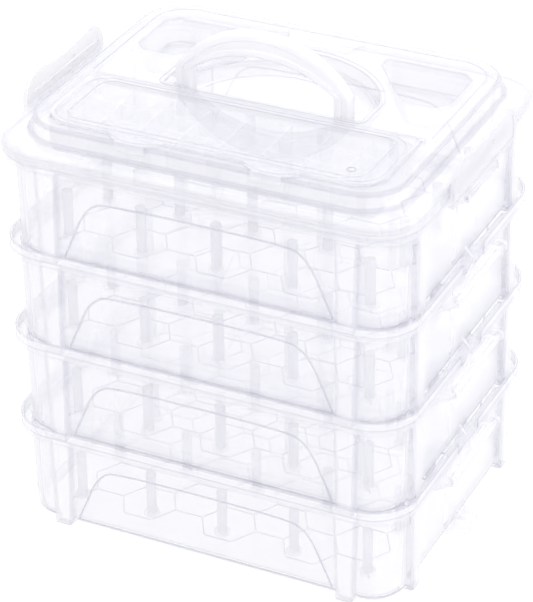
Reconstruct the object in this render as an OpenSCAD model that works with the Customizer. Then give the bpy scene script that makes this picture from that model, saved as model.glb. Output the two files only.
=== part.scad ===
// Stacking sewing box: four trays with thread pegs, a lid with a bobbin well, two pockets
// and a folding bail handle. Millimetres, +Z up, origin at the centre of the footprint.
// The front of the box faces -Y, and its long sides run along X.

/* [Box] */
// Width over the tray rims, left to right
box_w = 256; // [252:1:262]
// Depth over the tray rims, front to back
box_d = 207; // [204:1:212]
// Height that each tray adds to the stack
tier_pitch = 60.5; // [58:0.5:66]
// Corner radius of the tray rims
corner_r = 28; // [26:1:32]
// Thickness of the tray walls
wall_t = 1.8; // [1.5:0.1:2.2]

/* [Trays] */
// How far the tray wall stands in from the rim
wall_inset = 6; // [5.5:0.25:6.5]
// Thickness of the tray floor
floor_t = 2; // [1.6:0.1:2.4]
// Height of the outer lip that the next tray nests in
lip_h = 8.8; // [8.2:0.1:9.4]
// Distance between neighbouring thread pegs
peg_pitch = 47.5; // [46:0.5:48.5]
// Diameter of a thread peg
peg_d = 6; // [5:0.5:7]
// Height of a thread peg above the floor
peg_h = 30; // [20:1:40]

/* [Lid] */
// Height of the flat top above the lid flange
dome_h = 9.5; // [9:0.5:12]
// Depth of the bobbin well
well_h = 18.8; // [14:0.2:19]
// Depth of the two back pockets
pocket_h = 15.5; // [8:0.5:17]

/* [Handle] */
// Height of the handle above its pivots
handle_h = 45; // [42:1:50]
// Thickness of the handle, front to back
handle_t = 9; // [7:0.5:9]

/* [Hidden] */
$fn = 64;
eps = 0.5;                               // bury depth where two shapes of one piece join

tiers = 4;
clear_plastic = [0.86, 0.87, 0.93, 0.55];
edge_plastic = [0.78, 0.80, 0.90, 0.8];

// Tray: heights count from the tray's own base
foot_gap = 0.4;                          // wall underside above the feet
seat_z = tier_pitch - 0.1;               // ledge that the next tray stands on
ledge_t = 1.6;
lip_t = 1.6;
rim_low = seat_z - ledge_t;
rim_top = rim_low + lip_h;
wall_w = box_w - 2 * wall_inset;
wall_d = box_d - 2 * wall_inset;
wall_r = corner_r - wall_inset;
floor_z = foot_gap + floor_t;

// Posts moulded into the walls
post_front_x = 92.5;
post_side_y = 69.6;
post_top_w = 12.5;
post_foot_w = 9.5;
post_out = 3.8;
pilaster_w = 34;
pilaster_face_w = 27;
pilaster_out = 1.6;
panel_t = 0.6;

// Lug at the middle of each short side, held by the clip of the tray below
lug_tip_x = box_w / 2 + 5;
lug_root_w = 28;
lug_tip_w = 16;
lug_t = 4;
lug_gap = 1.5;
rib_t = 2.4;
rib_h = 7;

// Clip hinges on the trays
pin_r = 1.5;
pin_play = 0.05;
barrel_r = 2.2;
hinge_x = box_w / 2 + 4;
ear_t = 3.5;
ear_gap = 0.3;
clip_z = 55;
clip_half = 33;
clip_t = 2.2;
clip_top_half = 13.5;
clip_window_half = 10.2;
clip_top = tier_pitch + lug_t + 2.6;
hook_gap = 0.4;
latch_z = 56.5;
latch_y = -3;
latch_half = 46;
latch_ear_half = 20;

// Pegs
peg_cols = 5;
peg_rows = 4;
collar_r = 5;
collar_h = 2;
peg_fit = 0.02;

// Lid: heights above the ground
lid_seat = (tiers - 1) * tier_pitch + rim_top + 0.1;
lid_h = 4.8;                             // seat to flange top
flange_top = lid_seat + lid_h;
flange_t = 2;
skirt_out = 1.8;
skirt_gap = 0.3;
skirt_drop = 3.2;
seat_width = 0.8;
rib_drop = 6.5;
plate_t = 1.8;
dome_w = box_w - 26;
dome_d = box_d - 25;
dome_r = corner_r - 1;
top_z = flange_top + dome_h;

// Bobbin well under the front cover
well_w = 200;
well_front = -80.5;
well_back = -23.5;
well_r = 6;
divider_t = 1.4;
divider_h = 14;
long_y = [-40, -58];
cross_pitch = 25;
cross_n = 7;
slot_gap = 0.15;

// Front cover and its hinge
cover_half = 103;
cover_front = -84;
cover_r = 18;
cover_t = 1.6;
cover_z = top_z + 0.1;
cover_hinge_y = -19.5;
cover_barrel_r = 1.6;
cover_pin_r = 1.2;
cover_hinge_z = top_z + 0.3;
cover_ear_x = 100.4;
cover_ear_r = 2.4;
groove_half = 2.6;
groove_deep = 2.2;
tab_x = 41.6;
tab_half = 17.2;
tab_out = 9;
tab_lip_t = 1.5;
tab_lip_h = 5.4;

// Handle and its recess
handle_x = 55;
handle_arm = 10.5;
handle_y = -7;
handle_z = top_z - 4.5;
handle_outer_r = 66;
handle_inner_r = 74;
handle_band = 15.3;
handle_pin_r = 2;
handle_pin_x = 59.5;
recess_half = 62;
recess_front = -12;
recess_r = 66;
recess_floor = handle_z - 4.8;
boss_x = 55.6;

// Lid latch
latch_face_x = skirt_out + box_w / 2 + 1.8;
latch_t = 1.8;
latch_low = (tiers - 1) * tier_pitch + rim_low + 1.8;
latch_top = flange_top + 12;
latch_corner_r = 14;
latch_dip = 2.3;
latch_dip_half = 26;
latch_bead = 3;
latch_hook = 1.5;
latch_hook_lift = 0.5;                   // hook above the flange while released

// Rounded rectangle, centred
module rounded(w, d, r) {
    square([w - 2 * r, d], center = true);
    square([w, d - 2 * r], center = true);
    for (x = [-1, 1], y = [-1, 1]) translate([x * (w / 2 - r), y * (d / 2 - r)]) circle(r);
}

// Straight-sided block with rounded corners, standing on height z
module slab(w, d, r, z, h) {
    translate([0, 0, z]) linear_extrude(h) rounded(w, d, r);
}

// Ring with rounded corners: outer size w, d, r and wall t
module band(w, d, r, t, z, h) {
    translate([0, 0, z]) linear_extrude(h) difference() {
        rounded(w, d, r);
        rounded(w - 2 * t, d - 2 * t, r - t);
    }
}

// Puts its children, drawn for the right side, on the left side too
module both_sides() {
    for (s = [0, 1]) mirror([s, 0, 0]) children();
}

// Puts its children, drawn for the front, at the back too
module front_and_back() {
    for (s = [0, 1]) mirror([0, s, 0]) children();
}

// Cylinder along X, from x0 to x1
module rod_x(r, x0, x1, y, z) {
    translate([x0, y, z]) rotate([0, 90, 0]) cylinder(r = r, h = x1 - x0);
}

// Cylinder along Y, from y0 to y1
module rod_y(r, y0, y1, x, z) {
    translate([x, y1, z]) rotate([90, 0, 0]) cylinder(r = r, h = y1 - y0);
}

// Outline of a post, narrower at its foot, seen face on
module post_outline(slim) {
    polygon([[-post_foot_w / 2 + slim, 0], [post_foot_w / 2 - slim, 0],
             [post_top_w / 2 - slim, rim_low + eps], [-post_top_w / 2 + slim, rim_low + eps]]);
}

// Post on the front wall at x = 0; the wall's outer face is at y = -face
module post(face) {
    translate([0, -face + eps, 0]) rotate([90, 0, 0]) linear_extrude(post_out + eps) post_outline(0);
}

// Hollow inside a post
module post_hollow(face) {
    translate([0, -face + wall_t + eps, floor_z])
        rotate([90, 0, 0]) linear_extrude(post_out + eps) post_outline(wall_t);
}

// Places a front-wall feature at all eight post positions: children(0) front, children(1) side
module at_posts() {
    front_and_back() both_sides() translate([post_front_x, 0, 0]) children(0);
    for (s = [-1, 1], t = [-1, 1]) translate([0, s * post_side_y, 0]) rotate([0, 0, t * 90]) children(1);
}

// Raised panel on a long wall, with an arched top and sloping shoulders
module wall_panel() {
    translate([0, -wall_d / 2 + eps, 0]) rotate([90, 0, 0]) linear_extrude(panel_t + eps)
        polygon([[-83.5, 7.6], [-77, 20], [-72.5, 32], [-64.7, 40], [-57, 44.9], [57, 44.9],
                 [64.7, 40], [72.5, 32], [77, 20], [83.5, 7.6]]);
}

// Plain pilaster up the middle of a short side
module pilaster() {
    x = wall_w / 2 - eps;
    out = wall_w / 2 + pilaster_out;
    translate([0, 0, foot_gap]) linear_extrude(rim_low - foot_gap + eps)
        polygon([[x, -pilaster_w / 2], [out, -pilaster_face_w / 2], [out, pilaster_face_w / 2],
                 [x, pilaster_w / 2]]);
}

// Lug at the foot of a short side, with a stiffening rib on top
module lug() {
    x = wall_w / 2 - eps;
    linear_extrude(lug_t) polygon([[x, -lug_root_w / 2], [lug_tip_x, -lug_tip_w / 2],
                                   [lug_tip_x, lug_tip_w / 2], [x, lug_root_w / 2]]);
    translate([0, rib_t / 2, 0]) rotate([90, 0, 0]) linear_extrude(rib_t)
        polygon([[x, lug_t - eps], [lug_tip_x - 5, lug_t - eps], [x, lug_t + rib_h]]);
}

// Two hinge ears on the right wall, at y0 - half and y0 + half, with the pin bores
module ears(y0, half, z) {
    for (s = [-1, 1]) difference() {
        translate([0, y0 + s * (half + ear_gap + ear_t / 2) + ear_t / 2, 0])
            rotate([90, 0, 0]) linear_extrude(ear_t)
                polygon([[wall_w / 2 - eps, z - 9], [hinge_x, z - 3.2], [hinge_x + 2.2, z - 2.2],
                         [hinge_x + 2.2, z + 2.2], [hinge_x, z + 3.2],
                         [wall_w / 2 - eps, rim_low + eps]]);
        rod_y(pin_r + pin_play, y0 + s * (half + 3) - 8, y0 + s * (half + 3) + 8, hinge_x, z);
    }
}

// Sockets that hold the pegs
module collars() {
    for (i = [0 : peg_cols - 1], j = [0 : peg_rows - 1])
        translate([(i - (peg_cols - 1) / 2) * peg_pitch, (j - (peg_rows - 1) / 2) * peg_pitch,
                   floor_z - eps])
            difference() {
                cylinder(r = collar_r, h = collar_h + eps);
                translate([0, 0, eps]) cylinder(r = peg_d / 2 + peg_fit, h = collar_h + 1);
            }
}

// One tray; k counts from 1 at the bottom
module tray(k) {
    color(clear_plastic) translate([0, 0, (k - 1) * tier_pitch]) {
        difference() {
            union() {
                slab(wall_w, wall_d, wall_r, foot_gap, rim_low - foot_gap + eps);
                slab(box_w, box_d, corner_r, rim_low, lip_h);
                at_posts() {
                    post(wall_d / 2);
                    post(wall_w / 2);
                }
                front_and_back() wall_panel();
                both_sides() pilaster();
                both_sides() lug();
            }
            slab(wall_w - 2 * wall_t, wall_d - 2 * wall_t, wall_r - wall_t, floor_z, tier_pitch);
            slab(box_w - 2 * lip_t, box_d - 2 * lip_t, corner_r - lip_t, seat_z, lip_h);
            at_posts() {
                post_hollow(wall_d / 2);
                post_hollow(wall_w / 2);
            }
            if (k < tiers) both_sides() translate([box_w / 2 - 4, -lug_root_w / 2 - lug_gap, seat_z])
                cube([8, lug_root_w + 2 * lug_gap, lip_h + 2]);
        }
        collars();
        both_sides() if (k < tiers) ears(0, clip_half, clip_z); else ears(latch_y, latch_ear_half, latch_z);
    }
}

// The pegs of one tray
module spool_pegs(k) {
    color(edge_plastic) translate([0, 0, (k - 1) * tier_pitch + floor_z])
        for (i = [0 : peg_cols - 1], j = [0 : peg_rows - 1])
            translate([(i - (peg_cols - 1) / 2) * peg_pitch, (j - (peg_rows - 1) / 2) * peg_pitch, 0])
                cylinder(d = peg_d, h = peg_h);
}

// Clip on the right of tray k: a trapezoid frame that swings up over the next tray's lug
module tier_clip(k) {
    x = hinge_x - clip_t / 2;
    bar_low = tier_pitch + lug_t + hook_gap;
    tip = lug_tip_x + hook_gap;
    translate([0, 0, (k - 1) * tier_pitch]) {
        translate([x, 0, 0]) rotate([90, 0, 90]) linear_extrude(clip_t) difference() {
            polygon([[-clip_half, clip_z], [clip_half, clip_z], [clip_top_half, clip_top],
                     [-clip_top_half, clip_top]]);
            polygon([[-clip_half + 9, clip_z + barrel_r + 0.8], [clip_half - 9, clip_z + barrel_r + 0.8],
                     [clip_window_half, clip_top + 1], [-clip_window_half, clip_top + 1]]);
        }
        translate([0, 0, bar_low]) linear_extrude(clip_top - bar_low)
            difference() {
                translate([x, -clip_top_half]) square([tip + clip_t - x, 2 * clip_top_half]);
                translate([x - 1, -clip_window_half]) square([tip - x + 1, 2 * clip_window_half]);
            }
        rod_y(barrel_r, -clip_half, clip_half, hinge_x, clip_z);
        rod_y(pin_r, -clip_half - ear_t, clip_half + ear_t, hinge_x, clip_z);
    }
}

// Face of a lid latch, drawn flat as (y, z), smaller all round by g
module latch_face(g) {
    r = latch_corner_r - g;
    half = latch_half - g;
    low = latch_low + g;
    top = latch_top - g;
    dip_r = (latch_dip_half * latch_dip_half + latch_dip * latch_dip) / 2 / latch_dip;
    difference() {
        union() {
            translate([-half, low]) square([2 * half, top - r - low]);
            translate([-half + r, low]) square([2 * (half - r), top - low]);
            for (s = [-1, 1]) intersection() {
                translate([s * (half - r), top - r]) circle(r);
                translate([-half, low]) square([2 * half, top - low]);
            }
        }
        translate([0, top - latch_dip + dip_r]) circle(dip_r, $fn = 200);
    }
}

// Latch on the right of the lid: a tall plate with a beaded edge and a hook over the flange
module lid_latch() {
    z = (tiers - 1) * tier_pitch + latch_z;
    tongue = latch_ear_half - 1;
    translate([latch_face_x, latch_y, 0]) rotate([90, 0, 90]) {
        linear_extrude(latch_t) latch_face(0);
        linear_extrude(latch_t + 0.8) difference() {
            latch_face(0);
            latch_face(latch_bead);
        }
        linear_extrude(latch_t) translate([-tongue, z]) square([2 * tongue, latch_low - z + eps]);
    }
    translate([latch_face_x - latch_hook, latch_y - latch_half + 8, flange_top + latch_hook_lift])
        cube([latch_hook + eps, 2 * latch_half - 16, 2]);
    rod_y(barrel_r, latch_y - latch_ear_half, latch_y + latch_ear_half, hinge_x, z);
    rod_y(pin_r, latch_y - latch_ear_half - ear_t, latch_y + latch_ear_half + ear_t, hinge_x, z);
}

// Outline of the handle's recess, larger all round by g
module recess_outline(g) {
    intersection() {
        translate([0, handle_y - 1]) circle(recess_r + g, $fn = 128);
        translate([-recess_half - g, recess_front - g]) square([2 * (recess_half + g), 80]);
    }
}

// Outline of the right-hand pocket, larger all round by g
module pocket_outline(g) {
    polygon([[44 - g, 69 + g], [92 + g / 2, 69 + g], [99 + g, 62 + g / 2], [99 + g, 28 - g / 2],
             [93 + g / 2, 22 - g], [74 - g / 2, 22 - g], [66 - g, 30 - g / 2], [44 - g, 60 - g / 2]]);
}

// Outline of the bobbin well, larger all round by g
module well_outline(g) {
    translate([0, (well_front + well_back) / 2])
        rounded(well_w + 2 * g, well_back - well_front + 2 * g, well_r + g);
}

// Lid shell: flange, skirt, raised top, and the well, recess and pockets sunk into it
module lid() {
    outer_w = box_w + 2 * skirt_out;
    outer_d = box_d + 2 * skirt_out;
    outer_r = corner_r + skirt_out;
    skirt_t = skirt_out - skirt_gap;
    rib_w = box_w - 2 * lip_t - 0.8;
    rib_d = box_d - 2 * lip_t - 0.8;
    rib_r = corner_r - lip_t - 0.4;
    color(clear_plastic) difference() {
        union() {
            difference() {
                slab(outer_w, outer_d, outer_r, flange_top - flange_t, flange_t);
                slab(dome_w - 2 * plate_t, dome_d - 2 * plate_t, dome_r - plate_t, 0, flange_top + 1);
            }
            band(outer_w, outer_d, outer_r, skirt_t, lid_seat - skirt_drop, lid_h + skirt_drop);
            band(outer_w, outer_d, outer_r, skirt_out + seat_width, lid_seat, lid_h);
            band(rib_w, rib_d, rib_r, plate_t, lid_seat - rib_drop, lid_h - flange_t / 2 + rib_drop);
            band(dome_w, dome_d, dome_r, plate_t, flange_top - flange_t, dome_h + flange_t);
            slab(dome_w, dome_d, dome_r, top_z - plate_t, plate_t);
            translate([0, 0, top_z - well_h - plate_t]) linear_extrude(well_h + plate_t)
                well_outline(plate_t);
            translate([0, 0, recess_floor - plate_t]) linear_extrude(top_z - recess_floor + plate_t)
                recess_outline(plate_t);
            both_sides() translate([0, 0, top_z - pocket_h - plate_t])
                linear_extrude(pocket_h + plate_t) pocket_outline(plate_t);
            translate([-cover_ear_x - 4, cover_hinge_y - groove_half - 0.5, top_z - groove_deep - plate_t])
                cube([2 * cover_ear_x + 8, 2 * groove_half + 1, groove_deep + plate_t]);
            both_sides() {
                rod_x(cover_ear_r, cover_ear_x, cover_ear_x + 4, cover_hinge_y, cover_hinge_z);
                translate([cover_ear_x, cover_hinge_y - cover_ear_r, top_z - 1])
                    cube([4, 2 * cover_ear_r, cover_hinge_z - top_z + 1]);
            }
            translate([0, 0, top_z - eps]) linear_extrude(eps + 0.8)
                polygon([[-25, 80], [-19, 65], [19, 65], [25, 80]]);
        }
        translate([0, 0, top_z - well_h]) linear_extrude(well_h + 1) well_outline(0);
        difference() {
            translate([0, 0, recess_floor]) linear_extrude(20) recess_outline(0);
            both_sides() translate([boss_x, recess_front, recess_floor - 1])
                cube([12, 9.5, top_z - recess_floor + 0.5]);
        }
        both_sides() translate([0, 0, top_z - pocket_h]) linear_extrude(pocket_h + 1) pocket_outline(0);
        translate([-cover_ear_x, cover_hinge_y - groove_half, top_z - groove_deep])
            cube([2 * cover_ear_x, 2 * groove_half, groove_deep + 1]);
        both_sides() rod_x(handle_pin_r + pin_play, boss_x - 1, handle_pin_x + 0.5, handle_y, handle_z);
        both_sides() rod_x(cover_pin_r + pin_play, cover_ear_x - 1, cover_ear_x + 5, cover_hinge_y,
                           cover_hinge_z);
    }
}

// Two long strips in the well, slotted from below
module long_dividers() {
    z = top_z - well_h;
    color(edge_plastic) for (y = long_y) difference() {
        translate([-well_w / 2 + slot_gap, y - divider_t / 2, z])
            cube([well_w - 2 * slot_gap, divider_t, divider_h]);
        for (i = [0 : cross_n - 1]) translate([(i - (cross_n - 1) / 2) * cross_pitch, y, z])
            cube([divider_t + 2 * slot_gap, 4, divider_h + slot_gap], center = true);
    }
}

// Seven cross strips in the well, slotted from above
module cross_dividers() {
    z = top_z - well_h;
    color(edge_plastic) for (i = [0 : cross_n - 1]) difference() {
        translate([(i - (cross_n - 1) / 2) * cross_pitch - divider_t / 2, well_front + slot_gap, z])
            cube([divider_t, well_back - well_front - 2 * slot_gap, divider_h]);
        for (y = long_y) translate([(i - (cross_n - 1) / 2) * cross_pitch, y, z + divider_h])
            cube([4, divider_t + 2 * slot_gap, divider_h + slot_gap], center = true);
    }
}

// Clear flap over the bobbin well, with a hinge barrel at the back and two finger tabs in front
module front_cover() {
    back = cover_hinge_y - groove_half - 0.4;
    deep = back - cover_front;
    tab_r = (tab_half * tab_half + tab_out * tab_out) / 2 / tab_out;
    lip_y = -dome_d / 2 - 0.6 - tab_lip_t;
    color(clear_plastic) {
        translate([0, 0, cover_z]) linear_extrude(cover_t) {
            translate([-cover_half, cover_front + cover_r]) square([2 * cover_half, deep - cover_r]);
            translate([-cover_half + cover_r, cover_front]) square([2 * (cover_half - cover_r), deep]);
            both_sides() translate([cover_half - cover_r, cover_front + cover_r]) circle(cover_r);
            translate([-cover_ear_x + 0.8, back - 1])
                square([2 * cover_ear_x - 1.6, cover_hinge_y - back + 1]);
            both_sides() intersection() {
                translate([tab_x, cover_front - tab_out + tab_r]) circle(tab_r);
                translate([tab_x - tab_half, cover_front - 2 * tab_out])
                    square([2 * tab_half, 2 * tab_out + 1]);
            }
        }
        both_sides() translate([tab_x - 9, lip_y, cover_z + cover_t - tab_lip_h])
            cube([18, tab_lip_t, tab_lip_h]);
        rod_x(cover_barrel_r, -cover_ear_x + 0.4, cover_ear_x - 0.4, cover_hinge_y, cover_hinge_z);
        rod_x(cover_pin_r, -cover_ear_x - 3.6, cover_ear_x + 3.6, cover_hinge_y, cover_hinge_z);
    }
}

// Bail handle, standing upright on its two pivot pins
module handle() {
    color("white") {
        translate([0, handle_y + handle_t / 2, handle_z]) rotate([90, 0, 0]) linear_extrude(handle_t)
            difference() {
                intersection() {
                    translate([0, handle_h - handle_outer_r]) circle(handle_outer_r, $fn = 160);
                    translate([-handle_x, 0]) square([2 * handle_x, handle_h + 1]);
                }
                intersection() {
                    translate([0, handle_h - handle_band - handle_inner_r])
                        circle(handle_inner_r, $fn = 160);
                    translate([handle_arm - handle_x, -1])
                        square([2 * (handle_x - handle_arm), handle_h]);
                }
            }
        both_sides() {
            rod_x(handle_t / 2, handle_x - handle_arm, handle_x, handle_y, handle_z);
            rod_x(handle_pin_r, handle_x - eps, handle_pin_x, handle_y, handle_z);
        }
    }
}

for (k = [1 : tiers]) {
    tray(k);
    spool_pegs(k);
}
for (k = [1 : tiers - 1]) {
    color(edge_plastic) tier_clip(k);
    color(edge_plastic) mirror([1, 0, 0]) tier_clip(k);
}
lid();
color(edge_plastic) lid_latch();  // lid_latch_right
color(edge_plastic) mirror([1, 0, 0]) lid_latch();  // lid_latch_left
front_cover();
long_dividers();
cross_dividers();
handle();
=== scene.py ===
"""Looks of the clear stacking sewing box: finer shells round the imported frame, and clear plastic.

Sizes are in millimetres until build() turns them into metres. The box stands on z = 0 with its
middle at x = y = 0, and its long front side faces -y.
"""

import math

import bmesh
import bpy
from mathutils import Matrix, Vector
from mathutils.geometry import delaunay_2d_cdt


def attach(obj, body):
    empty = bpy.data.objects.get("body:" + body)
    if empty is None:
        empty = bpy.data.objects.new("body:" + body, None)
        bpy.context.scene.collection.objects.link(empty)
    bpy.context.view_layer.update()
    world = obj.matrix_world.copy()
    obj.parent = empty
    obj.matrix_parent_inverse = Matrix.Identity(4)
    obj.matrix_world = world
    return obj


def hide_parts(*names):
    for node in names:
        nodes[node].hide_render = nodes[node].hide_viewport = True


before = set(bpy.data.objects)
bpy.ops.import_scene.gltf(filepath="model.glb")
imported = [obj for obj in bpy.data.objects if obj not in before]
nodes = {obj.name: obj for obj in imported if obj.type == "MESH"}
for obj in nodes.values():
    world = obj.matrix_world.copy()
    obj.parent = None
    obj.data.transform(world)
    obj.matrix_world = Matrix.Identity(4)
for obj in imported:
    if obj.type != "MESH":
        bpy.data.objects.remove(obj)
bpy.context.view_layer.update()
MM = 0.001

# ---------------------------------------------------------------- sizes, in millimetres
TIERS = 4
RIM_W, RIM_D = 256.0, 207.0      # over a tray's rim
PITCH = 60.5                     # from one tier to the next
WALL_INSET = 6.0                 # from the rim's outer face to the wall
WALL_R = 22.0                    # outer radius of the walls' corners
WALL_T = 1.8
DRAFT = 1.3                      # each wall's foot is this much further in than its top
RIM_LOW, RIM_TOP = 58.8, 67.6
SEAT = 60.4                      # ledge inside the rim that carries the next tier
FLOOR = 2.4                      # top of a tray's floor
UNDER = 0.45                     # underside of the floor; the posts reach down to 0
POST_OUT = 3.7                   # posts stand this far out from the wall
POST_X, POST_Y = 92.5, 69.6      # middles of the posts along the long and the short sides
PILASTER_OUT = 1.5
PEG_PITCH = 47.5
HEX_SIDE = 18.0                  # one side of a cell of the web on the floor
HINGE_X = 132.0                  # hinge axes of clips and latches
HALF_X = RIM_W / 2 - WALL_INSET - WALL_R
HALF_Y = RIM_D / 2 - WALL_INSET - WALL_R
LID_SEAT = 249.2
FLANGE = 254.0                   # top of the lid's flange
TOP = 263.5                      # flat top of the lid
PLATE = 1.7                      # thickness of the lid
LID_W, LID_D, LID_R = 259.6, 210.6, 29.8
DOME_W, DOME_D, DOME_R = 230.0, 182.7, 27.0
WELL_DEPTH = 18.8                # compartments under the cover
POCKET_DEPTH = 15.5
RECESS_DEPTH = 9.3               # where the folded handle lies
COVER_TOP = 265.2
COVER_AXIS = (-19.5, 263.8)      # y and z of the cover's hinge
HANDLE_AXIS = (-7.0, 259.0)      # y and z of the handle's pins


# ---------------------------------------------------------------- materials
FORWARD = 0.7                    # part of the light caught by the plastic that scatters on
GRAIN = 0.02                     # how much the haze varies within a wall
THROUGH = (0.99, 0.99, 0.994, 1)
FACE_GLOSS, GLANCE_GLOSS = 0.04, 0.55


def material(name):
    """New material without nodes; gives it back with its nodes and links."""
    mat = bpy.data.materials.new(name)
    mat.use_nodes = True
    mat.node_tree.nodes.clear()
    return mat, mat.node_tree.nodes, mat.node_tree.links


def math_node(ns, ls, operation, a, b, clamp=False):
    """Math node whose inputs are numbers or sockets; gives back its result."""
    n = ns.new("ShaderNodeMath")
    n.operation = operation
    n.use_clamp = clamp
    for socket, value in zip(n.inputs, (a, b)):
        if isinstance(value, (int, float)):
            socket.default_value = value
        else:
            ls.new(value, socket)
    return n.outputs[0]


def clear_plastic(name, body, rim, milk, rim_gain, rough=0.12):
    """Clear moulded plastic, mostly see-through face on and denser at grazing angles.

    body and rim are its colours face on and at grazing angles, milk its density face on, and
    rim_gain what grazing angles add to that.
    """
    mat, ns, ls = material(name)
    coord = ns.new("ShaderNodeTexCoord")
    cloud = ns.new("ShaderNodeTexNoise")
    cloud.inputs["Scale"].default_value = 22.0      # clouds a few centimetres across
    cloud.inputs["Detail"].default_value = 3.0
    ls.new(coord.outputs["Object"], cloud.inputs["Vector"])
    facing = ns.new("ShaderNodeLayerWeight")
    facing.inputs["Blend"].default_value = 0.5
    edge = math_node(ns, ls, "POWER", facing.outputs["Facing"], 3.4)
    edge_part = math_node(ns, ls, "MULTIPLY", edge, rim_gain)
    haze = math_node(ns, ls, "MULTIPLY_ADD", cloud.outputs["Fac"], GRAIN)
    haze.node.inputs[2].default_value = milk - GRAIN / 2
    density = math_node(ns, ls, "ADD", edge_part, haze, clamp=True)
    ray = ns.new("ShaderNodeLightPath")
    passing = math_node(ns, ls, "MULTIPLY_ADD", ray.outputs["Is Shadow Ray"], -FORWARD)
    passing.node.inputs[2].default_value = 1.0
    density = math_node(ns, ls, "MULTIPLY", density, passing)

    shade = ns.new("ShaderNodeMix")
    shade.data_type = "RGBA"
    ls.new(edge, shade.inputs["Factor"])
    shade.inputs["A"].default_value = (*body, 1)
    shade.inputs["B"].default_value = (*rim, 1)
    solid = ns.new("ShaderNodeBsdfPrincipled")
    solid.inputs["Roughness"].default_value = 0.35
    solid.inputs["Specular IOR Level"].default_value = 0.2
    ls.new(shade.outputs["Result"], solid.inputs["Base Color"])
    see = ns.new("ShaderNodeBsdfTransparent")
    see.inputs["Color"].default_value = THROUGH
    mix = ns.new("ShaderNodeMixShader")
    ls.new(density, mix.inputs[0])
    ls.new(see.outputs[0], mix.inputs[1])
    ls.new(solid.outputs[0], mix.inputs[2])

    shine = ns.new("ShaderNodeBsdfGlossy")
    shine.inputs["Roughness"].default_value = rough
    shine.inputs["Color"].default_value = (1, 1, 1, 1)
    bump = ns.new("ShaderNodeBump")
    bump.inputs["Strength"].default_value = 0.08
    bump.inputs["Distance"].default_value = 0.0006
    ls.new(cloud.outputs["Fac"], bump.inputs["Height"])
    ls.new(bump.outputs[0], shine.inputs["Normal"])
    glance = math_node(ns, ls, "POWER", facing.outputs["Facing"], 5)
    share = math_node(ns, ls, "MULTIPLY_ADD", glance, GLANCE_GLOSS, clamp=True)
    share.node.inputs[2].default_value = FACE_GLOSS
    top = ns.new("ShaderNodeMixShader")
    ls.new(share, top.inputs[0])
    ls.new(mix.outputs[0], top.inputs[1])
    ls.new(shine.outputs[0], top.inputs[2])
    out = ns.new("ShaderNodeOutputMaterial")
    ls.new(top.outputs[0], out.inputs["Surface"])
    return mat


HAZE = (0.90, 0.90, 0.918)
GREY = (0.86, 0.86, 0.885)
SHADE = (0.81, 0.81, 0.835)
MID = (0.72, 0.72, 0.77)
DEEP = (0.50, 0.50, 0.58)
WALLS = clear_plastic("clear_walls", HAZE, MID, 0.24, 0.40)
# EDGES, RIMS and LINES are darker copies of the wall plastic for the fillets, the rim's bands and
# edges and the posts' edges: painted shade that draws the dark lines clear plastic shows where it
# turns.
EDGES = clear_plastic("clear_edges", MID, DEEP, 0.26, 0.30)
RIMS = clear_plastic("clear_rims", GREY, DEEP, 0.26, 0.40)
LINES = clear_plastic("painted_shade_lines", (0.48, 0.48, 0.56), DEEP, 0.38, 0.3)
# WEB is a darker copy of the plastic for the web on the floors and the outline on the long walls:
# painted shade along those low ridges.
WEB = clear_plastic("floor_web", (0.60, 0.60, 0.67), DEEP, 0.36, 0.2)
FLOORS = clear_plastic("clear_floors", HAZE, DEEP, 0.18, 0.10)
MILKY = clear_plastic("milky_pegs", (0.64, 0.64, 0.70), DEEP, 0.37, 0.22)
# The lid's one plastic in lit and shaded copies: lid_top is darkened against the light that falls
# on the top (painted shade), lid_slope and lid_flange are lighter copies (painted light), and
# lid_edges and lid_outline are darker copies on turns, fillets and ridges that paint shade lines.
LID_TOP = clear_plastic("lid_top", SHADE, DEEP, 0.24, 0.3, rough=0.05)
LID_SLOPE = clear_plastic("lid_slope", HAZE, DEEP, 0.20, 0.2, rough=0.05)
LID_EDGE = clear_plastic("lid_edges", (0.68, 0.68, 0.73), DEEP, 0.28, 0.4, rough=0.05)
LID_LINE = clear_plastic("lid_outline", (0.61, 0.61, 0.67), (0.44, 0.44, 0.52), 0.30, 0.55,
                         rough=0.05)
LID_RIB = clear_plastic("lid_rib", HAZE, DEEP, 0.05, 0.25, rough=0.05)
FLANGES = clear_plastic("lid_flange", HAZE, DEEP, 0.20, 0.3, rough=0.05)
COVER = clear_plastic("clear_cover", GREY, DEEP, 0.16, 0.3, rough=0.02)
LATCHES = clear_plastic("clear_latches", (0.76, 0.76, 0.79), DEEP, 0.29, 0.4, rough=0.05)
HANDLE = clear_plastic("milky_handle", (0.86, 0.86, 0.88), (0.58, 0.58, 0.66), 0.50, 0.35,
                       rough=0.06)


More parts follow.
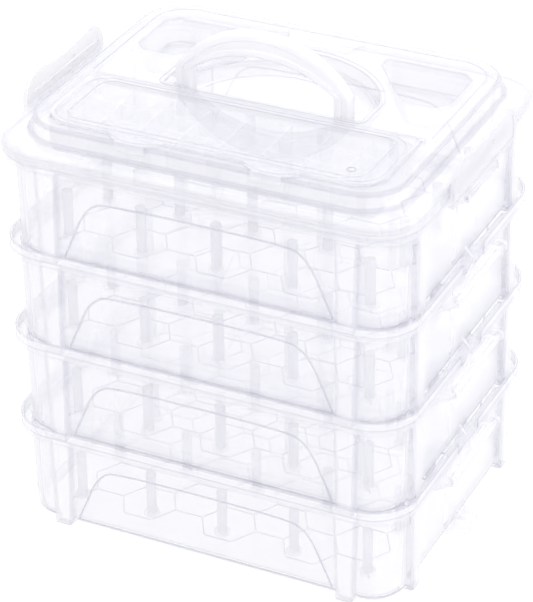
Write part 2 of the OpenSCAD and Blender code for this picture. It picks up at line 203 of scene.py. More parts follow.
# ---------------------------------------------------------------- mesh helpers
class Sheet:
    """Points in millimetres, and faces that each have the number of a material."""

    def __init__(self):
        self.verts, self.faces, self.index = [], [], []

    def ring(self, points, z=None):
        """Add points, which are flat ones at height z if z is given; gives back their numbers."""
        start = len(self.verts)
        self.verts += [(p[0], p[1], p[2] if z is None else z) for p in points]
        return list(range(start, len(self.verts)))

    def face(self, loop, m=0):
        self.faces.append(tuple(loop))
        self.index.append(m)

    def bridge(self, a, b, m=0):
        """Band of faces between two rings of equal length."""
        for j in range(len(a)):
            k = (j + 1) % len(a)
            self.face((a[j], a[k], b[k], b[j]), m)

    def tube(self, rings, m=0, caps=True):
        """Closed solid through rings of equal length; m may be a list, one for each gap."""
        for i in range(len(rings) - 1):
            self.bridge(rings[i], rings[i + 1], m[i] if isinstance(m, (list, tuple)) else m)
        if caps:
            ends = (m[0], m[-1]) if isinstance(m, (list, tuple)) else (m, m)
            self.face(reversed(rings[0]), ends[0])
            self.face(rings[-1], ends[1])

    def plate(self, outer, holes, m=0):
        """Flat area between an outer loop and some holes, all at one height."""
        ids = [i for loop in (outer, *holes) for i in loop]
        place = {i: n for n, i in enumerate(ids)}
        flat = [Vector(self.verts[i][:2]) for i in ids]
        loops = [[place[i] for i in loop] for loop in (outer, *holes)]
        _, _, faces, orig, _, _ = delaunay_2d_cdt(flat, [], loops, 2, 1e-6)
        for f in faces:
            self.face([ids[orig[v][0]] for v in f], m)

    def prism(self, outline, lo, hi, place):
        """Straight block with an outline in (u, v), from w = lo to w = hi.

        place maps u, v, w to x, y, z.
        """
        self.tube([self.ring([place(u, v, w) for u, v in outline]) for w in (lo, hi)])

    def bored(self, outline, centre, r, lo, hi, place):
        """prism() with a round bore; the whole outline can be seen from the bore's centre."""
        steps = 20
        turns = [2 * math.pi * i / steps for i in range(steps)]
        turns += [math.atan2(v - centre[1], u - centre[0]) % (2 * math.pi) for u, v in outline]
        turns = sorted(set(round(a, 4) for a in turns))
        out, inn = [], []
        n = len(outline)
        for a in turns:
            c, s = math.cos(a), math.sin(a)
            best = None
            for i in range(n):
                (u0, v0), (u1, v1) = outline[i], outline[(i + 1) % n]
                du, dv = u1 - u0, v1 - v0
                cross = c * dv - s * du
                if abs(cross) < 1e-9:
                    continue
                far = ((u0 - centre[0]) * dv - (v0 - centre[1]) * du) / cross
                along = ((u0 - centre[0]) * s - (v0 - centre[1]) * c) / cross
                if far > 0 and -1e-3 <= along <= 1 + 1e-3 and (best is None or far < best):
                    best = far
            out.append((centre[0] + best * c, centre[1] + best * s))
            inn.append((centre[0] + r * c, centre[1] + r * s))
        rings = [self.ring([place(u, v, w) for u, v in loop]) for loop, w in
                 ((out, lo), (out, hi), (inn, hi), (inn, lo))]
        for i in range(4):
            self.bridge(rings[i], rings[(i + 1) % 4])

    def turned(self, profile, place, steps=24, m=0, closed=False):
        """Turned solid with a profile in (radius, height); place maps x, y, height to x, y, z."""
        angles = [2 * math.pi * i / steps for i in range(steps)]
        rings = []
        for r, h in profile:
            rings.append(self.ring([place(r * math.cos(a), r * math.sin(a), h) for a in angles]))
        if closed:
            rings.append(rings[0])
        self.tube(rings, m, caps=not closed)

    def ridge(self, path, width, height, place, m=0, closed=False):
        """Low half-round rib along a path in (u, v); place maps u, v, height to x, y, z."""
        sunk = 0.2
        section = ((-0.5, -sunk), (-0.46, height * 0.45), (-0.22, height),
                   (0.22, height), (0.46, height * 0.45), (0.5, -sunk))
        rings = []
        n = len(path)
        for i in range(n):
            a = path[(i - 1) % n] if closed or i else path[0]
            b = path[(i + 1) % n] if closed or i < n - 1 else path[-1]
            d = math.hypot(b[0] - a[0], b[1] - a[1])
            nu, nv = -(b[1] - a[1]) / d, (b[0] - a[0]) / d
            rings.append(self.ring([place(path[i][0] + nu * s * width,
                                          path[i][1] + nv * s * width, h) for s, h in section]))
        if closed:
            rings.append(rings[0])
        self.tube(rings, m, caps=not closed)


def build(sheet, name, mats, body, replaces=(), bevel=0.0, solid=0.0, smooth=38):
    """Turn a sheet into a piece that rides on body.

    bevel and solid are the widths that its modifiers give to edges and to the sheet. Edges stay
    sharp above the angle smooth, in degrees.
    """
    mesh = bpy.data.meshes.new(name)
    mesh.from_pydata([(x * MM, y * MM, z * MM) for x, y, z in sheet.verts], [], sheet.faces)
    for m in mats:
        mesh.materials.append(m)
    mesh.polygons.foreach_set("material_index", sheet.index)
    mesh.polygons.foreach_set("use_smooth", [True] * len(sheet.faces))
    bm = bmesh.new()
    bm.from_mesh(mesh)
    bmesh.ops.recalc_face_normals(bm, faces=bm.faces)
    bm.to_mesh(mesh)
    bm.free()
    mesh.set_sharp_from_angle(angle=math.radians(smooth))
    obj = bpy.data.objects.new(name, mesh)
    bpy.context.scene.collection.objects.link(obj)
    if solid:
        mod = obj.modifiers.new("thickness", "SOLIDIFY")
        mod.thickness = solid * MM
        mod.offset = -1
    if bevel:
        mod = obj.modifiers.new("bevel", "BEVEL")
        mod.width = bevel * MM
        mod.segments = 2
        mod.limit_method = "ANGLE"
        mod.angle_limit = math.radians(40)
        # the rounded edges get the last material, on these pieces a darker copy: painted shade
        # lines along the edges
        mod.material = len(mats) - 1
    mod = obj.modifiers.new("even_normals", "WEIGHTED_NORMAL")
    mod.keep_sharp = True
    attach(obj, body)
    if replaces:
        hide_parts(*replaces)


def on_outline(side, t, off, half_x, half_y, r):
    """Point on a rounded rectangle, moved outwards by off.

    side is 0 at the front, 1 right, 2 back and 3 left, and t runs along it from its middle.
    """
    half = (half_x, half_y)[side % 2]
    reach = (half_y, half_x)[side % 2] + r
    flat = max(-half, min(half, t))
    turn = (t - flat) / r
    x = flat + (r + off) * math.sin(turn)
    y = -(reach - r) - (r + off) * math.cos(turn)
    a = side * math.pi / 2
    return x * math.cos(a) - y * math.sin(a), x * math.sin(a) + y * math.cos(a)


def rounded_loop(w, d, r, cy=0.0, steps=12):
    """Rounded rectangle as points, counter-clockwise from above."""
    pts = []
    for cx, sy, a0 in ((1, -1, -90), (1, 1, 0), (-1, 1, 90), (-1, -1, 180)):
        for i in range(steps + 1):
            a = math.radians(a0 + 90 * i / steps)
            pts.append((cx * (w / 2 - r) + r * math.cos(a),
                        cy + sy * (d / 2 - r) + r * math.sin(a)))
    return pts


def round_corners(points, r, steps=6):
    """Polygon with its corners rounded to about radius r, counter-clockwise."""
    out = []
    n = len(points)
    for i in range(n):
        p, a, b = Vector(points[i]), Vector(points[i - 1]), Vector(points[(i + 1) % n])
        u, v = (a - p).normalized(), (b - p).normalized()
        half = math.acos(max(-1, min(1, u.dot(v)))) / 2
        cut = min(r / math.tan(half), 0.45 * min((a - p).length, (b - p).length))
        rr = cut * math.tan(half)
        centre = p + (u + v).normalized() * (rr / math.sin(half))
        start, end = p + u * cut - centre, p + v * cut - centre
        a0, a1 = math.atan2(start.y, start.x), math.atan2(end.y, end.x)
        turn = (a1 - a0 + math.pi) % (2 * math.pi) - math.pi
        for j in range(steps + 1):
            a = a0 + turn * j / steps
            out.append((centre.x + rr * math.cos(a), centre.y + rr * math.sin(a)))
    return out


def grown(loop, g):
    """Counter-clockwise loop moved outwards by g, or inwards where g is negative."""
    out = []
    n = len(loop)
    for i in range(n):
        a, p, b = Vector(loop[i - 1]), Vector(loop[i]), Vector(loop[(i + 1) % n])
        d0, d1 = (p - a).normalized(), (b - p).normalized()
        n0, n1 = Vector((d0.y, -d0.x)), Vector((d1.y, -d1.x))
        m = (n0 + n1).normalized()
        q = p + m * (g / max(0.5, m.dot(n0)))
        out.append((q.x, q.y))
    return out


def eased(points):
    """Open path with its corners cut round."""
    for _ in range(3):
        out = [points[0]]
        for (x0, y0), (x1, y1) in zip(points, points[1:]):
            out += [(0.75 * x0 + 0.25 * x1, 0.75 * y0 + 0.25 * y1),
                    (0.25 * x0 + 0.75 * x1, 0.25 * y0 + 0.75 * y1)]
        points = out + [points[-1]]
    return points


# ---------------------------------------------------------------- trays
# across a post's edge: distance outside it, and the share of the post's stand-out reached there
POST_STEPS = ((1.3, 0.0), (0.8, 0.08), (0.45, 0.42), (0.2, 0.8), (-0.1, 0.96), (-0.6, 1.0))
# from a pilaster's edge to its middle: distance from the side's middle, its weight, and the notch
PILASTER_STEPS = ((17.6, 0, 0), (16.6, 0.2, 0), (15.6, 0.5, 0), (15.2, 0.62, 1), (14.6, 0.8, 1),
                  (13.4, 1.0, 1), (6, 1.0, 1))
# numbers of a tray shell's materials, in the order that tray_shell() lists them; EDGE_M, LINE_M and
# RIM_M are darker copies of the wall plastic that paint shade lines
WALL_M, EDGE_M, FLOOR_M, LINE_M, RIM_M = range(5)


def tray_columns():
    """Columns round a tray's wall.

    Each has its side, its position along it, which side of a post it follows, and the weights of
    the post, the pilaster and the notch in the rim.
    """
    cols = []
    for side in range(4):
        half = (HALF_X, HALF_Y)[side % 2]
        centre = (POST_X, POST_Y)[side % 2]
        cells = []
        for s in (-1, 1):
            for d, w in POST_STEPS:
                for e in (-1, 1):
                    cells.append((s * centre + e * d, e, w, 0.0, 0.0))
            cells.append((s * centre, 0, 1.0, 0.0, 0.0))
        if side % 2:
            for e in (-1, 1):
                for at, w, notch in PILASTER_STEPS:
                    cells.append((e * at, 0, 0.0, w, notch))
            cells.append((0, 0, 0.0, 1.0, 1.0))
            plain = (25, 33, 41, 49, 56)
        else:
            plain = (0, 12, 24, 36, 48, 60, 70, 80)
        for p in plain:
            for e in (-1, 1) if p else (1,):
                cells.append((e * p, 0, 0.0, 0.0, 0.0))
        end = half + WALL_R * math.pi / 4
        first = centre + 8.5
        for i in range(9):
            at = first + (end - first) * (i + 0.5) / 9
            cells.append((at, 0, 0.0, 0.0, 0.0))
            cells.append((-at, 0, 0.0, 0.0, 0.0))
        cells.sort(key=lambda c: c[0] + c[1] * 5.5)
        cols += [(side, *c) for c in cells]
    return cols


def post_half(z):
    """Half the width of a post, which widens towards the rim."""
    return 4.75 + 1.5 * max(0.0, min(1.0, z / RIM_LOW))


def draft(z):
    """How far the wall at height z is from its outline at the top: none or inwards."""
    return -DRAFT * (1 - min(1.0, z / RIM_LOW))


def tray_rows():
    """Section of a tray's wall, up its outside and down its inside.

    Each row has the wall's offset and z, the offset and z that a post has there, and the material
    of the band that ends at it.
    """
    # the darker edge, line and rim materials in these rows paint shade lines along the fillets and
    # the rim
    # underside, and the fillet round the foot
    rows = [(-9, UNDER, -9, UNDER, FLOOR_M), (draft(4) - 4.6, UNDER, -1.6, 0.0, FLOOR_M)]
    fillet, post_fillet = 4.0, 1.2
    for i in range(1, 6):
        a = math.radians(-90 + 18 * i)
        rows.append((draft(fillet) - fillet + fillet * math.cos(a),
                     UNDER + fillet + fillet * math.sin(a),
                     POST_OUT - post_fillet + post_fillet * math.cos(a),
                     post_fillet + post_fillet * math.sin(a),
                     LINE_M if i in (1, 5) else EDGE_M))
    # outside of the wall, which turns outwards under the rim
    levels = (9, 20, 32, 44, 54)
    for z in levels:
        rows.append((draft(z), z, POST_OUT, z, WALL_M))
    rows += [(draft(58) + 0.05, RIM_LOW - 1.2, POST_OUT, RIM_LOW - 1.2, WALL_M),
             (0.6, RIM_LOW - 0.35, POST_OUT + 0.2, RIM_LOW - 0.35, EDGE_M),
             (1.6, RIM_LOW, POST_OUT + 0.6, RIM_LOW, EDGE_M)]
    # up the rim's outer face and down its inner face to the seat
    rim = ((5.4, RIM_LOW, EDGE_M), (5.85, RIM_LOW + 0.18, EDGE_M), (6.0, RIM_LOW + 0.6, EDGE_M),
           (6.0, RIM_LOW + 3.5, RIM_M), (5.8, RIM_LOW + 3.8, LINE_M),
           (5.8, RIM_TOP - 0.9, WALL_M), (6.0, RIM_TOP - 0.6, EDGE_M),
           (5.82, RIM_TOP - 0.15, LINE_M), (5.4, RIM_TOP, LINE_M), (4.95, RIM_TOP, EDGE_M),
           (4.55, RIM_TOP - 0.15, EDGE_M), (4.4, RIM_TOP - 0.55, LINE_M), (4.4, SEAT + 0.7, RIM_M),
           (4.2, SEAT + 0.2, EDGE_M), (3.7, SEAT, EDGE_M))
    rows += [(off, z, off, z, m) for off, z, m in rim]
    # inside of the wall, and its fillet onto the floor
    inner, post_inner = -WALL_T, POST_OUT - WALL_T
    rows += [(-1.0, SEAT, post_inner + 0.5, SEAT, WALL_M),
             (inner + 0.15, SEAT - 0.2, post_inner + 0.1, SEAT - 0.2, EDGE_M),
             (inner, SEAT - 0.9, post_inner, SEAT - 0.9, EDGE_M)]
    for z in reversed(levels):
        rows.append((draft(z) + inner, z, post_inner, z, WALL_M))
    fillet = 2.4
    for i in range(5):
        a = math.radians(-22.5 * i)
        rows.append((draft(4) + inner - fillet + fillet * math.cos(a),
                     FLOOR + fillet + fillet * math.sin(a),
                     post_inner - 1 + math.cos(a), FLOOR + 1 + math.sin(a),
                     EDGE_M if i else WALL_M))
    rows.append((-9, FLOOR, -9, FLOOR, FLOOR_M))
    return rows


def tray_shell(k):
    """Walls, floor, posts and rim of tray k in one skin."""
    sheet = Sheet()
    cols = tray_columns()
    rows = tray_rows()
    rings = []
    for off, z, post_off, post_z, _ in rows:
        loop = []
        for side, at, sign, post, pilaster, notch in cols:
            zz = z + (post_z - z) * post
            o = off + (post_off - off) * post
            if 5 < z < RIM_LOW and -WALL_T - DRAFT - 0.1 < off < 1:
                o += PILASTER_OUT * pilaster
            if k < TIERS and notch:
                zz = min(zz, SEAT)
            x, y = on_outline(side, at + sign * post_half(zz), o, HALF_X, HALF_Y, WALL_R)
            loop.append((x, y, (k - 1) * PITCH + zz))
        rings.append(sheet.ring(loop))
    gaps = [row[4] for row in rows[1:]]
    sheet.tube(rings, gaps)
    n = len(cols)
    # wall faces beside each post's edge get the darker edge material: painted shade lines along the
    # posts
    for i, gap in enumerate(gaps):
        for j in range(n):
            if gap == WALL_M and cols[j][3] != cols[(j + 1) % n][3]:
                sheet.index[i * n + j] = EDGE_M
    build(sheet, f"tray_{k}_shell", [WALLS, EDGES, FLOORS, LINES, RIMS], f"tray_{k}",
          replaces=(f"tray_{k}",))


def tray_fittings(k):
    """Lugs and hinge ears on the short sides of tray k."""
    sheet = Sheet()
    z0 = (k - 1) * PITCH
    # half the width between a pair of ears, its middle along y, and the height of their bore
    half, mid, zh = (33, 0, 55) if k < TIERS else (20, -3, 56.5)
    lug = [(120.8, -14.2), (131.4, -8.9), (133, -7.2), (133, 7.2), (131.4, 8.9), (120.8, 14.2)]
    gusset = [(121.2, 3.6), (127.5, 3.6), (121.8, 10.8), (121.2, 10.8)]
    ear = [(121.4, zh - 9), (132, zh - 3.2), (134.2, zh - 2.2), (134.2, zh + 2.2),
           (132, zh + 3.1), (121.4, 58.9)]
    for s in (-1, 1):
        sheet.prism(lug, 0, 4, lambda u, v, w, s=s: (s * u, v, z0 + w))
        sheet.prism(gusset, -1.2, 1.2, lambda u, v, w, s=s: (s * u, w, z0 + v))
        for e in (-1, 1):
            a, b = sorted((mid + e * (half + 0.3), mid + e * (half + 3.8)))
            sheet.bored(ear, (HINGE_X, zh), r=1.56, lo=a, hi=b,
                        place=lambda u, v, w, s=s: (s * u, w, z0 + v))
    build(sheet, f"tray_{k}_lugs", [WALLS, EDGES], f"tray_{k}", bevel=0.35)


def hex_web():
    """Sides of the six-sided cells on a tray's floor, each as a pair of end points."""
    sides = []
    seen = set()
    for i in range(-8, 9):
        for j in range(-5, 6):
            cx, cy = i * HEX_SIDE * 1.5, (j + 0.5 * (i % 2)) * HEX_SIDE * math.sqrt(3)
            for n in range(6):
                a, b = math.radians(60 * n), math.radians(60 * n + 60)
                p = (cx + HEX_SIDE * math.cos(a), cy + HEX_SIDE * math.sin(a))
                q = (cx + HEX_SIDE * math.cos(b), cy + HEX_SIDE * math.sin(b))
                key = (round((p[0] + q[0]) * 2), round((p[1] + q[1]) * 2))
                past_wall = max(abs(p[0]), abs(q[0])) > 116 or max(abs(p[1]), abs(q[1])) > 92
                in_corner = any(abs(x) > 98 and abs(y) > 78 for x, y in (p, q))
                if key in seen or past_wall or in_corner:
                    continue
                seen.add(key)
                sides.append((p, q))
    return sides


def tray_details(k):
    """Peg collars, the six-sided web on the floor and the raised outline on the long walls."""
    sheet = Sheet()
    z0 = (k - 1) * PITCH
    collar = [(5.0, FLOOR - 0.2), (5.0, FLOOR + 1.4), (4.5, FLOOR + 2.0), (3.5, FLOOR + 2.0),
              (3.06, FLOOR + 1.7), (3.06, FLOOR - 0.2)]
    for i in range(5):
        for j in range(4):
            cx, cy = (i - 2) * PEG_PITCH, (j - 1.5) * PEG_PITCH
            sheet.turned(collar, lambda x, y, h, cx=cx, cy=cy: (cx + x, cy + y, z0 + h), 20,
                         closed=True)
    for p, q in hex_web():
        u = ((q[0] - p[0]) / HEX_SIDE, (q[1] - p[1]) / HEX_SIDE)
        path = [(p[0] + u[0] * c, p[1] + u[1] * c) for c in (0.5, HEX_SIDE - 0.5)]
        sheet.ridge(path, 0.9, 0.45, lambda x, y, h: (x, y, z0 + FLOOR + h), 1)
    half = [(83.5, 4.5), (80.5, 12), (76.5, 21), (72.0, 32), (65.5, 40.5), (56.5, 44.9)]
    path = eased([(-x, z) for x, z in half] + [(x, z) for x, z in reversed(half)])
    wall_y = RIM_D / 2 - WALL_INSET
    for s in (-1, 1):
        sheet.ridge(path, 1.1, 0.55, lambda u, v, h, s=s: (u, s * (wall_y + draft(v) + h), z0 + v),
                    1)
    # the web and the wall outline wear the darker WEB copy: painted shade lines on real ridges
    build(sheet, f"tray_{k}_details", [WALLS, WEB], f"tray_{k}")


for k in range(1, TIERS + 1):
    tray_shell(k)
    tray_fittings(k)
    tray_details(k)


# ---------------------------------------------------------------- lid
def fillet_rings(r):
    """Offsets and heights round the upper part of a fillet of radius r, from 15 to 90 degrees."""
    angles = [math.radians(15 + 75 * i / 5) for i in range(6)]
    return [(r * math.cos(a), r * math.sin(a)) for a in angles]


# numbers of the lid shell's materials, in the order that lid_shell() lists them; TURN_M and
# OUTLINE_M are darker copies that paint shade lines, SLOPE_M and FLANGE_M lighter copies that paint
# light
TOP_M, TURN_M, SLOPE_M, FLANGE_M, OUTLINE_M = range(5)
POCKET_MATS = (TURN_M, SLOPE_M, TURN_M, TOP_M)


def hollow(sheet, loop, depth, slope=0.6, top_r=0.8, foot_r=1.6,
           mats=(TURN_M, TOP_M, TURN_M, TOP_M), corner_r=None):
    """A sunk pocket below the lid's top; gives back its outermost ring.

    slope is how far its walls lean in, and mats are the materials of its upper turn, walls, lower
    turn and floor. With corner_r the loop has sharp corners, which are rounded ring by ring.
    """
    angles = [math.radians(22.5 * i) for i in range(5)]
    upper = [(top_r * (1 - math.sin(a)), -top_r * (1 - math.cos(a))) for a in angles]
    lower = [(-slope - foot_r * (1 - math.cos(a)), -depth + foot_r * (1 - math.sin(a)))
            for a in angles]
    ids = []
    for g, dz in upper + lower:
        ring = grown(loop, g)
        if corner_r:
            ring = round_corners(ring, max(0.8, corner_r + g), 4)
        ids.append(sheet.ring(ring, TOP + dz))
    for i in range(len(ids) - 1):
        sheet.bridge(ids[i], ids[i + 1], mats[0] if i < 4 else mats[1] if i == 4 else mats[2])
    sheet.face(ids[-1], mats[3])
    return ids[0]


RECESS_R, RECESS_Y = 66.0, -8      # the round back of the handle recess: radius and centre


def recess_loop():
    """Outline of the handle recess: a wide arc at the back and two rounded corners in front."""
    half, front = 62, -12
    side_top = RECESS_Y + math.sqrt(RECESS_R ** 2 - half ** 2)
    first = math.atan2(side_top - RECESS_Y, half)
    arc = [(RECESS_R * math.cos(a), RECESS_Y + RECESS_R * math.sin(a))
           for a in (first + (math.pi - 2 * first) * i / 40 for i in range(41))]
    corners = round_corners([(-half, side_top), (-half, front), (half, front), (half, side_top)],
                            3, 5)
    return [p for p in corners if p[1] < -5] + arc


WELL = rounded_loop(200, 57, 6, -52)
GROOVE = rounded_loop(200.8, 5.2, 0.8, COVER_AXIS[0], 3)
RECESS = recess_loop()
POCKET = [(44, 69), (44, 60), (66, 30), (74, 22), (93, 22), (99, 28), (99, 62), (92, 69)]


def lid_shell():
    """Flange, dome and the hollows sunk into it, as one skin that a modifier thickens."""
    sheet = Sheet()
    outer = [(-0.5, 246.0), (-0.15, 246.1), (0, 246.5), (0, 251.0)]
    outer += [(-3.0 + x, 251.0 + z) for x, z in fillet_rings(3.0)]
    outer += [(-10.5, FLANGE)]
    rings = [sheet.ring(rounded_loop(LID_W + 2 * o, LID_D + 2 * o, LID_R + o), z)
             for o, z in outer]
    dome = [(3.2, FLANGE), (2.3, FLANGE + 0.15), (1.75, FLANGE + 0.6), (1.4, FLANGE + 1.4),
            (-0.5, TOP - 2.6)]
    dome += [(-3.0 + x, TOP - 2.6 + z) for x, z in fillet_rings(2.6)]
    rings += [sheet.ring(rounded_loop(DOME_W + 2 * o, DOME_D + 2 * o, DOME_R + o), z)
              for o, z in dome]
    n_outer = len(outer)
    # the skirt's foot and the dome's foot and top fillet get the darker lid_outline copy, the
    # dome's side the lighter lid_slope copy: painted shade lines and painted light
    for i in range(len(rings) - 1):
        if i == n_outer + 3:
            m = SLOPE_M
        elif 2 <= i < n_outer:
            m = FLANGE_M
        else:
            m = OUTLINE_M
        sheet.bridge(rings[i], rings[i + 1], m)
    holes = [hollow(sheet, WELL, WELL_DEPTH),
             hollow(sheet, GROOVE, 2.2, 0.1, 0.3, 0.3, (TOP_M,) * 4),
             hollow(sheet, RECESS, RECESS_DEPTH, 0.8, 1.0, 1.6, POCKET_MATS)]
    for loop in (POCKET, [(-x, y) for x, y in reversed(POCKET)]):
        holes.append(hollow(sheet, loop, POCKET_DEPTH, 3.2, 1.4, 1.8, POCKET_MATS, corner_r=3.5))
    sheet.plate(rings[-1], holes, TOP_M)
    build(sheet, "lid_shell", [LID_TOP, LID_EDGE, LID_SLOPE, FLANGES, LID_LINE], "lid",
          replaces=("lid",), solid=PLATE)


def lid_fittings():
    """Rib inside the tray's rim, seat, cover ears, handle bosses and the pad behind the recess."""
    sheet = Sheet()
    for w, d, r, t, lo in ((252, 203, 26, 1.8, 242.7), (256.6, 207.6, 28.3, 1.2, LID_SEAT)):
        hi = 252.6
        loops = [rounded_loop(w, d, r), rounded_loop(w - 2 * t, d - 2 * t, r - t)]
        rings = [sheet.ring(loops[0], lo), sheet.ring(loops[0], hi), sheet.ring(loops[1], hi),
                 sheet.ring(loops[1], lo)]
        for i in range(4):
            sheet.bridge(rings[i], rings[(i + 1) % 4])
    boss = [(-12, 253), (-2.6, 253), (-2.6, 262.6), (-12, 262.6)]
    for s in (-1, 1):
        sheet.turned([(2.4, 100.5), (2.4, 104.4), (1.27, 104.4), (1.27, 100.5)],
                     lambda x, y, h, s=s: (s * h, COVER_AXIS[0] + x, COVER_AXIS[1] + y),
                     closed=True)
        sheet.bored(boss, HANDLE_AXIS, r=2.06, lo=55.6, hi=61.4,
                    place=lambda u, v, w, s=s: (s * w, u, v))
    pad = round_corners([(-25, 80), (-19, 65), (19, 65), (25, 80)], 1.5, 3)
    sheet.tube([sheet.ring(grown(pad, g), TOP + h)
                for g, h in ((0.4, -0.3), (0, 0.4), (-0.4, 0.8))])
    build(sheet, "lid_fittings", [LID_RIB, LID_TOP], "lid", bevel=0.3)


def lid_lines():
    """Low ridges: the border along the back, round the handle recess, and the arch on its floor."""
    sheet = Sheet()
    on_top = lambda u, v, h: (u, v, TOP + h)
    border = [p for p in rounded_loop(DOME_W - 17, DOME_D - 17, 20) if p[1] > -14]
    right = [p for p in border if p[0] > 0]
    left = [p for p in border if p[0] < 0]
    sheet.ridge([(106.5, -14)] + right + left + [(-106.5, -14)], 0.9, 0.35, on_top)
    sheet.ridge(grown(RECESS, 3.2), 0.9, 0.4, on_top, closed=True)
    arch = [(48 * math.cos(a), RECESS_Y + 48 * math.sin(a))
            for a in (math.radians(20 + 3.5 * i) for i in range(41))]
    sheet.ridge(arch, 1.2, 0.2, lambda u, v, h: (u, v, TOP - RECESS_DEPTH + h))
    # the ridges wear the darker lid_edges copy: painted shade lines
    build(sheet, "lid_lines", [LID_EDGE], "lid")


lid_shell()
lid_fittings()
lid_lines()


# ---------------------------------------------------------------- cover, handle and latch details
def cover_lines():
    """Ridges on the cover: two borders, a small ring and the outline of the two finger tabs."""
    sheet = Sheet()
    on_cover = lambda u, v, h: (u, v, COVER_TOP + h)
    inner = [(-92, -26.5), (-92, -77), (92, -77), (92, -26.5)]
    outer = [(-100.2, -23.6), (-100.2, -81.2), (100.2, -81.2), (100.2, -23.6)]
    sheet.ridge(round_corners(inner, 9, 6), 1.3, 0.5, on_cover, closed=True)
    sheet.ridge(round_corners(outer, 15, 8), 0.9, 0.35, on_cover, closed=True)
    sheet.ridge([(2.4 * math.cos(a) + 82, -69 + 2.4 * math.sin(a))
                 for a in (math.radians(20 * i) for i in range(18))], 0.6, 0.3, on_cover, 1,
                closed=True)
    for s in (-1, 1):
        tab = [(s * 41.6 + 21 * math.sin(a), -73.8 - 17 * math.cos(a))
               for a in (math.radians(-46 + 92 * i / 16) for i in range(17))]
        sheet.ridge(tab, 1.2, 0.5, on_cover)
    # the ridges wear the darker lid_edges and LINES copies: painted shade lines
    build(sheet, "cover_ridges", [LID_EDGE, LINES], "front_cover")


BAIL_OUT = (66, -21)       # outer arc of the grip: radius, and its centre's height from the axis
BAIL_IN = (74, -44.3)      # inner arc
FOOT_OUT, FOOT_IN = 55, 44.5
BAIL_HALF_Y = 4.5          # half the bail's width
BAIL_EDGE_R = 2.4


def bail_pairs():
    """Matched points on the bail's outer and inner edges, from one foot round to the other."""
    heights = (0.0, 4, 8, 12)
    pairs = [((-FOOT_OUT, z), (-FOOT_IN, z)) for z in heights]
    (r_out, c_out), (r_in, c_in) = BAIL_OUT, BAIL_IN
    half_out, half_in = math.asin(54.9 / r_out), math.asin(44.4 / r_in)
    for i in range(33):
        t = -1 + 2 * i / 32
        ao, ai = t * half_out, t * half_in
        pairs.append(((r_out * math.sin(ao), c_out + r_out * math.cos(ao)),
                      (r_in * math.sin(ai), c_in + r_in * math.cos(ai))))
    return pairs + [((FOOT_OUT, z), (FOOT_IN, z)) for z in reversed(heights)]


def bail_section():
    """Rounded section with a groove in its front and back.

    Each point has a sign and an offset across the bail, and a sign and an offset along y.
    """
    r = BAIL_EDGE_R
    section = []
    for su, sv, a0 in ((1, -1, -90), (1, 1, 0), (-1, 1, 90), (-1, -1, 180)):
        for i in range(5):
            a = math.radians(a0 + 22.5 * i)
            section.append((su, r * math.cos(a), sv, r * math.sin(a)))
        if su == sv:
            section += [(su, -su * 2.0, sv, sv * r), (su, -su * 2.7, sv, sv * (r - 0.9)),
                        (-su, su * 2.7, sv, sv * (r - 0.9)), (-su, su * 2.0, sv, sv * r)]
    return section


def handle_bail():
    """Bail that stands in the plane of its axis, with rounded feet and a pin on each of them."""
    sheet = Sheet()
    y0, z0 = HANDLE_AXIS
    pairs, section = bail_pairs(), bail_section()
    feet = [(-3.9, 0.42), (-3.2, 0.68), (-1.8, 0.9)]     # height, and share of the full depth

    def ring(p, q, squeeze, dz):
        mid = Vector(((p[0] + q[0]) / 2, (p[1] + q[1]) / 2))
        half = (Vector(p) - mid).length
        u = (Vector(p) - mid) / half
        pts = []
        for su, du, sv, dv in section:
            along = su * (half - BAIL_EDGE_R) + du
            depth = (sv * (BAIL_HALF_Y - BAIL_EDGE_R) + dv) * squeeze
            pts.append((mid.x + u.x * along, y0 + depth, z0 + dz + mid.y + u.y * along))
        return sheet.ring(pts)

    rings = [ring(*pairs[0], squeeze, dz) for dz, squeeze in feet]
    rings += [ring(p, q, 1, 0) for p, q in pairs]
    rings += [ring(*pairs[-1], squeeze, dz) for dz, squeeze in reversed(feet)]
    sheet.tube(rings)
    for s in (-1, 1):
        sheet.turned([(2.0, 54), (2.0, 59.2), (1.7, 59.5)],
                     lambda x, y, h, s=s: (s * h, y0 + x, z0 + y), 20)
    build(sheet, "handle_bail", [HANDLE], "handle", replaces=("handle",),
          smooth=30)


def latch_ribs():
    """Two ribs on the inside of each lid latch and a stud on its face."""
    rib = [(131.9, 243.5), (131.2, 243.5), (131.2, 249), (131.9, 249)]
    for s, side in ((-1, "left"), (1, "right")):
        sheet = Sheet()
        for y in (-44, -40.5):
            sheet.prism(rib, y - 0.5, y + 0.5, lambda u, v, w: (s * u, w, v))
        sheet.turned([(1.3, 133.2), (1.3, 133.7), (0.9, 133.9)],
                     lambda x, y, h: (s * h, 10 + x, 256 + y), 16)
        build(sheet, f"latch_ribs_{side}", [LATCHES], f"lid_latch_{side}")


cover_lines()
handle_bail()
latch_ribs()


# ---------------------------------------------------------------- CAD nodes that stay
def dress(node, mats, bevel):
    """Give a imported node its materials, the last one on edges that a bevel modifier rounds."""
    obj = nodes[node]
    obj.data.materials.clear()
    for m in mats:
        obj.data.materials.append(m)
    weld = obj.modifiers.new("weld", "WELD")
    weld.merge_threshold = 0.00001
    mod = obj.modifiers.new("bevel", "BEVEL")
    mod.width = bevel * MM
    mod.segments = 2
    mod.limit_method = "ANGLE"
    mod.angle_limit = math.radians(40)
    # where a node has two materials, the last is a darker copy: painted shade lines on its rounded
    # edges
    mod.material = len(mats) - 1
    mod.harden_normals = True


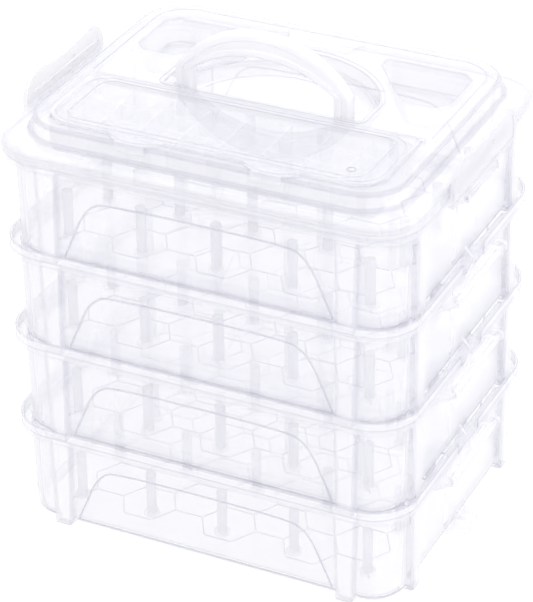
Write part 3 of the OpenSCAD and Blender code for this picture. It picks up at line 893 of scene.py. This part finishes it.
for k in range(1, TIERS + 1):
    dress(f"spool_pegs_{k}", [MILKY], 0.7)
for s in ("left", "right"):
    for k in range(1, TIERS):
        dress(f"tier_clip_{s}_{k}", [WALLS, EDGES], 0.4)
    dress(f"lid_latch_{s}", [LATCHES, LID_LINE], 0.6)
dress("front_cover", [COVER, LID_EDGE], 0.5)
dress("long_dividers", [WALLS, EDGES], 0.2)
dress("cross_dividers", [WALLS, EDGES], 0.2)

# ---------------------------------------------------------------- camera, light and floor
AZ, EL, ROLL = 25.8, 31.1, -0.6                 # degrees: round from the front, up, and tilt
DIST, AIM_Z = 1.653, 0.1118                     # metres
LENS, SENSOR = 165.1, 36                        # millimetres
SHIFT = (-0.0091, 0.0316)
SKY = 1.27                                      # strength of the white world
FLOOR_GREY, FLOOR_GLOW = 0.32, 0.71
az, el, roll = (math.radians(a) for a in (AZ, EL, ROLL))
back = Vector((math.sin(az) * math.cos(el), -math.cos(az) * math.cos(el), math.sin(el)))
right = (-back).cross(Vector((0, 0, 1))).normalized()
up = right.cross(-back)
tilt_right = right * math.cos(roll) + up * math.sin(roll)
tilt_up = up * math.cos(roll) - right * math.sin(roll)
cam = bpy.data.objects.new("camera", bpy.data.cameras.new("camera"))
cam.data.sensor_width = SENSOR
cam.data.lens = LENS
cam.data.shift_x, cam.data.shift_y = SHIFT
cam.data.clip_end = 50
place = Matrix((tilt_right, tilt_up, back)).transposed().to_4x4()
place.translation = Vector((0, 0, AIM_Z)) + back * DIST
cam.matrix_world = place
scene = bpy.context.scene
scene.collection.objects.link(cam)
scene.camera = cam

scene.view_settings.view_transform = "Standard"
scene.cycles.transparent_max_bounces = 128
scene.cycles.max_bounces = 12
scene.cycles.diffuse_bounces = 6
scene.cycles.glossy_bounces = 6
world = bpy.data.worlds.new("studio")
world.use_nodes = True
world.node_tree.nodes["Background"].inputs[0].default_value = (1, 1, 1, 1)
world.node_tree.nodes["Background"].inputs[1].default_value = SKY
scene.world = world


def soft_box(name, spot, aim, power):
    """Square area light; places in metres, power in watts."""
    light = bpy.data.lights.new(name, "AREA")
    light.shape = "SQUARE"
    light.size = 1.2
    light.energy = power
    obj = bpy.data.objects.new(name, light)
    obj.location = spot
    obj.rotation_euler = (Vector(aim) - Vector(spot)).to_track_quat("-Z", "Y").to_euler()
    scene.collection.objects.link(obj)


soft_box("key", (-0.9, -1.2, 1.7), (0, 0, 0.1), 2)
soft_box("side", (1.6, -0.2, 0.7), (0, 0, 0.15), 4.5)
soft_box("sheen", (-0.82, 1.69, 1.40), (0, 0, 0.26), 2)

floor_mesh = bpy.data.meshes.new("floor")
floor_mesh.from_pydata([(-8, -8, 0), (8, -8, 0), (8, 8, 0), (-8, 8, 0)], [], [(0, 1, 2, 3)])
floor_mat, floor_nodes, floor_links = material("white_floor")
paint = floor_nodes.new("ShaderNodeBsdfDiffuse")
paint.inputs["Color"].default_value = (FLOOR_GREY, FLOOR_GREY, FLOOR_GREY, 1)
glow = floor_nodes.new("ShaderNodeEmission")
glow.inputs["Strength"].default_value = FLOOR_GLOW
both = floor_nodes.new("ShaderNodeAddShader")
floor_out = floor_nodes.new("ShaderNodeOutputMaterial")
floor_links.new(paint.outputs[0], both.inputs[0])
floor_links.new(glow.outputs[0], both.inputs[1])
floor_links.new(both.outputs[0], floor_out.inputs["Surface"])
floor_mesh.materials.append(floor_mat)
floor = bpy.data.objects.new("floor", floor_mesh)
floor.location = (0, 0, -0.0004)
scene.collection.objects.link(floor)
